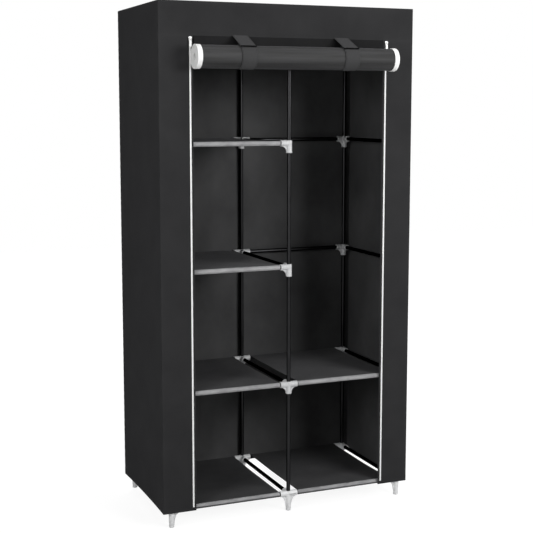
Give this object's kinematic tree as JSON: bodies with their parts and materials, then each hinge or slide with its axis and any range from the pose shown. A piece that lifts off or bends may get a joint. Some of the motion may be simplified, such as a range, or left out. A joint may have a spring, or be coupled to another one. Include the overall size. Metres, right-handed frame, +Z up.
{
  "type": "portable fabric wardrobe",
  "caption": "Free-standing cloth wardrobe on a thin tube frame, with cloth shelves beside an open hanging bay and a zipped door rolled up over the doorway.",
  "frame": {"origin": "on the floor, at the middle of the whole outline, the rolled door and its straps included", "axes": "+Z up, -Y out of the doorway, +X to the right of someone who faces the doorway"},
  "size_m": [0.88, 0.5388, 1.657],
  "materials": {
    "cover_cloth": "matt black non-woven cloth with a dotted bond pattern",
    "shelf_cloth": "matt black non-woven cloth, with a light grey sleeve on the front edge",
    "strap_cloth": "matt black doubled cloth, stitched along its edges",
    "frame_tube": "satin black enamel",
    "connector_plastic": "light grey moulded plastic, slightly satin",
    "zip_tape": "white woven tape with a white coil",
    "zip_metal": "white enamel"
  },
  "bodies": {
    "wardrobe": {"upright_front_left": "frame_tube", "upright_front_centre": "frame_tube", "upright_front_right": "frame_tube", "upright_back_left": "frame_tube", "upright_back_centre": "frame_tube", "upright_back_right": "frame_tube", "top_frame": "frame_tube", "hanging_rail": "frame_tube", "front_tube_left_0": "frame_tube", "front_tube_left_1": "frame_tube", "front_tube_left_2": "frame_tube", "front_tube_left_3": "frame_tube", "front_tube_right_0": "frame_tube", "front_tube_right_1": "frame_tube", "back_tube_left_0": "frame_tube", "back_tube_left_1": "frame_tube", "back_tube_left_2": "frame_tube", "back_tube_left_3": "frame_tube", "back_tube_right_0": "frame_tube", "back_tube_right_1": "frame_tube", "back_tube_right_2": "frame_tube", "back_tube_right_3": "frame_tube", "depth_tube_left_0": "connector_plastic", "depth_tube_left_1": "connector_plastic", "depth_tube_left_2": "connector_plastic", "depth_tube_left_3": "connector_plastic", "depth_tube_centre_0": "connector_plastic", "depth_tube_centre_1": "connector_plastic", "depth_tube_centre_2": "connector_plastic", "depth_tube_centre_3": "connector_plastic", "depth_tube_right_0": "connector_plastic", "depth_tube_right_1": "connector_plastic", "depth_tube_right_2": "connector_plastic", "depth_tube_right_3": "connector_plastic", "shelf_left_0": "shelf_cloth", "shelf_left_1": "shelf_cloth", "shelf_left_2": "shelf_cloth", "shelf_left_3": "shelf_cloth", "shelf_right_0": "shelf_cloth", "shelf_right_1": "shelf_cloth", "cover_top": "cover_cloth", "cover_back": "cover_cloth", "cover_left": "cover_cloth", "cover_right": "cover_cloth", "cover_front": "cover_cloth", "door_sheet": "cover_cloth", "strap_loop_left": "strap_cloth", "strap_loop_right": "strap_cloth", "zip_tape_left": "zip_tape", "zip_tape_right": "zip_tape"},
    "door": {"door_roll": "cover_cloth", "door_zip_left": "zip_tape", "door_zip_right": "zip_tape"},
    "strap_tab_left": {"strap_tab_left": "strap_cloth"},
    "strap_tab_right": {"strap_tab_right": "strap_cloth"},
    "slider_left": {"zip_slider_left": "zip_metal"},
    "slider_right": {"zip_slider_right": "zip_metal"},
    "pull_left": {"zip_pull_left": "zip_metal"},
    "pull_right": {"zip_pull_right": "zip_metal"}
  },
  "joints": [
    {"name": "door_drop", "type": "slide", "parent": "wardrobe", "child": "door", "axis": [0, 0, -1], "range_m": [0, 1.38], "deforming": ["door_sheet", "strap_loop_left", "strap_loop_right"]},
    {"name": "strap_tab_left_lift", "type": "hinge", "parent": "wardrobe", "child": "strap_tab_left", "pos_m": [-0.175, -0.1817, 1.556], "axis": [-1, 0, 0], "range_deg": [0, 105]},
    {"name": "strap_tab_right_lift", "type": "hinge", "parent": "wardrobe", "child": "strap_tab_right", "pos_m": [0.175, -0.1817, 1.556], "axis": [-1, 0, 0], "range_deg": [0, 105]},
    {"name": "zip_slider_left_slide", "type": "slide", "parent": "wardrobe", "child": "slider_left", "axis": [0, 0, -1], "range_m": [0, 1.47]},
    {"name": "zip_slider_right_slide", "type": "slide", "parent": "wardrobe", "child": "slider_right", "axis": [0, 0, -1], "range_m": [0, 1.47]},
    {"name": "zip_pull_left_swing", "type": "hinge", "parent": "slider_left", "child": "pull_left", "pos_m": [-0.339, -0.1873, 1.543], "axis": [-1, 0, 0], "range_deg": [0, 165]},
    {"name": "zip_pull_right_swing", "type": "hinge", "parent": "slider_right", "child": "pull_right", "pos_m": [0.339, -0.1873, 1.543], "axis": [-1, 0, 0], "range_deg": [0, 165]}
  ]
}
